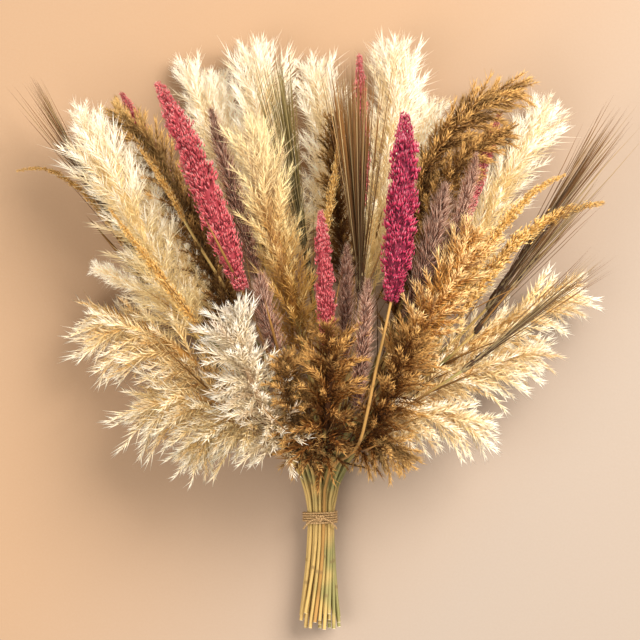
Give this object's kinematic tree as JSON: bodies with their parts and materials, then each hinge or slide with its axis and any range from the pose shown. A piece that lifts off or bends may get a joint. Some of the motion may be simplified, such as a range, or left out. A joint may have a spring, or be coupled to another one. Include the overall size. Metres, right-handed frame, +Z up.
{
  "type": "bundle of pampas grass",
  "caption": "Tied bundle of dried pampas grass with reed plumes, foxtails, dyed millet heads, bearded barley and thin grass spikes, lying on a surface.",
  "frame": {"origin": "the flat underside of the twine tie, on the surface that the bundle lies on, in the middle of the tie's width and length", "axes": "+Z up from the surface, +Y from the tie towards the plume tips, +X to the right as seen from above with the tips at the top"},
  "size_m": [0.6748, 0.6905, 0.2597],
  "materials": {
    "cream_pampas": "soft matt plume, near white at its edges",
    "golden_pampas": "soft matt plume, golden beige",
    "brown_reed": "dry feathery spikelets, brown",
    "cream_reed": "dry feathery spikelets, cream over tan",
    "gold_reed": "dry feathery spikelets, golden orange",
    "plum_foxtail": "soft bristly head, purple brown",
    "coral_millet": "dyed dry florets, coral red",
    "magenta_millet": "dyed dry florets, magenta",
    "dark_barley": "dry smooth ear and awns, dark brown",
    "gold_spike": "dry small grains, golden",
    "straw_stalk": "smooth dry straw",
    "jute_twine": "rough twisted twine"
  },
  "bodies": {
    "root": {"pampas_plume_1": "cream_pampas", "pampas_plume_2": "cream_pampas", "pampas_plume_3": "cream_pampas", "pampas_plume_4": "cream_pampas", "pampas_plume_5": "cream_pampas", "pampas_plume_6": "golden_pampas", "pampas_plume_7": "cream_pampas", "pampas_plume_8": "cream_pampas", "pampas_plume_9": "cream_pampas", "pampas_plume_10": "cream_pampas", "pampas_plume_11": "cream_pampas", "reed_plume_1": "brown_reed", "reed_plume_2": "brown_reed", "reed_plume_3": "brown_reed", "reed_plume_4": "brown_reed", "reed_plume_5": "cream_reed", "reed_plume_6": "cream_reed", "reed_plume_7": "cream_reed", "reed_plume_8": "cream_reed", "reed_plume_9": "brown_reed", "reed_plume_10": "brown_reed", "reed_plume_11": "brown_reed", "reed_plume_12": "brown_reed", "reed_plume_13": "cream_reed", "reed_plume_14": "cream_reed", "reed_plume_15": "cream_reed", "reed_plume_16": "gold_reed", "foxtail_1": "plum_foxtail", "foxtail_2": "plum_foxtail", "foxtail_3": "plum_foxtail", "foxtail_4": "plum_foxtail", "foxtail_5": "plum_foxtail", "foxtail_6": "plum_foxtail", "millet_stalk_1": "straw_stalk", "millet_head_1": "coral_millet", "millet_stalk_2": "straw_stalk", "millet_head_2": "coral_millet", "millet_stalk_3": "straw_stalk", "millet_head_3": "coral_millet", "millet_stalk_4": "straw_stalk", "millet_head_4": "coral_millet", "millet_stalk_5": "straw_stalk", "millet_head_5": "coral_millet", "millet_stalk_6": "straw_stalk", "millet_head_6": "magenta_millet", "bearded_barley_1": "dark_barley", "bearded_barley_2": "dark_barley", "bearded_barley_3": "dark_barley", "bearded_barley_4": "dark_barley", "bearded_barley_5": "dark_barley", "bearded_barley_6": "dark_barley", "bearded_barley_7": "dark_barley", "slender_spike_1": "gold_spike", "slender_spike_2": "gold_spike", "slender_spike_3": "gold_spike", "slender_spike_4": "gold_spike", "slender_spike_5": "gold_spike", "slender_spike_6": "gold_spike", "twine_tie": "jute_twine"}
  },
  "joints": []
}
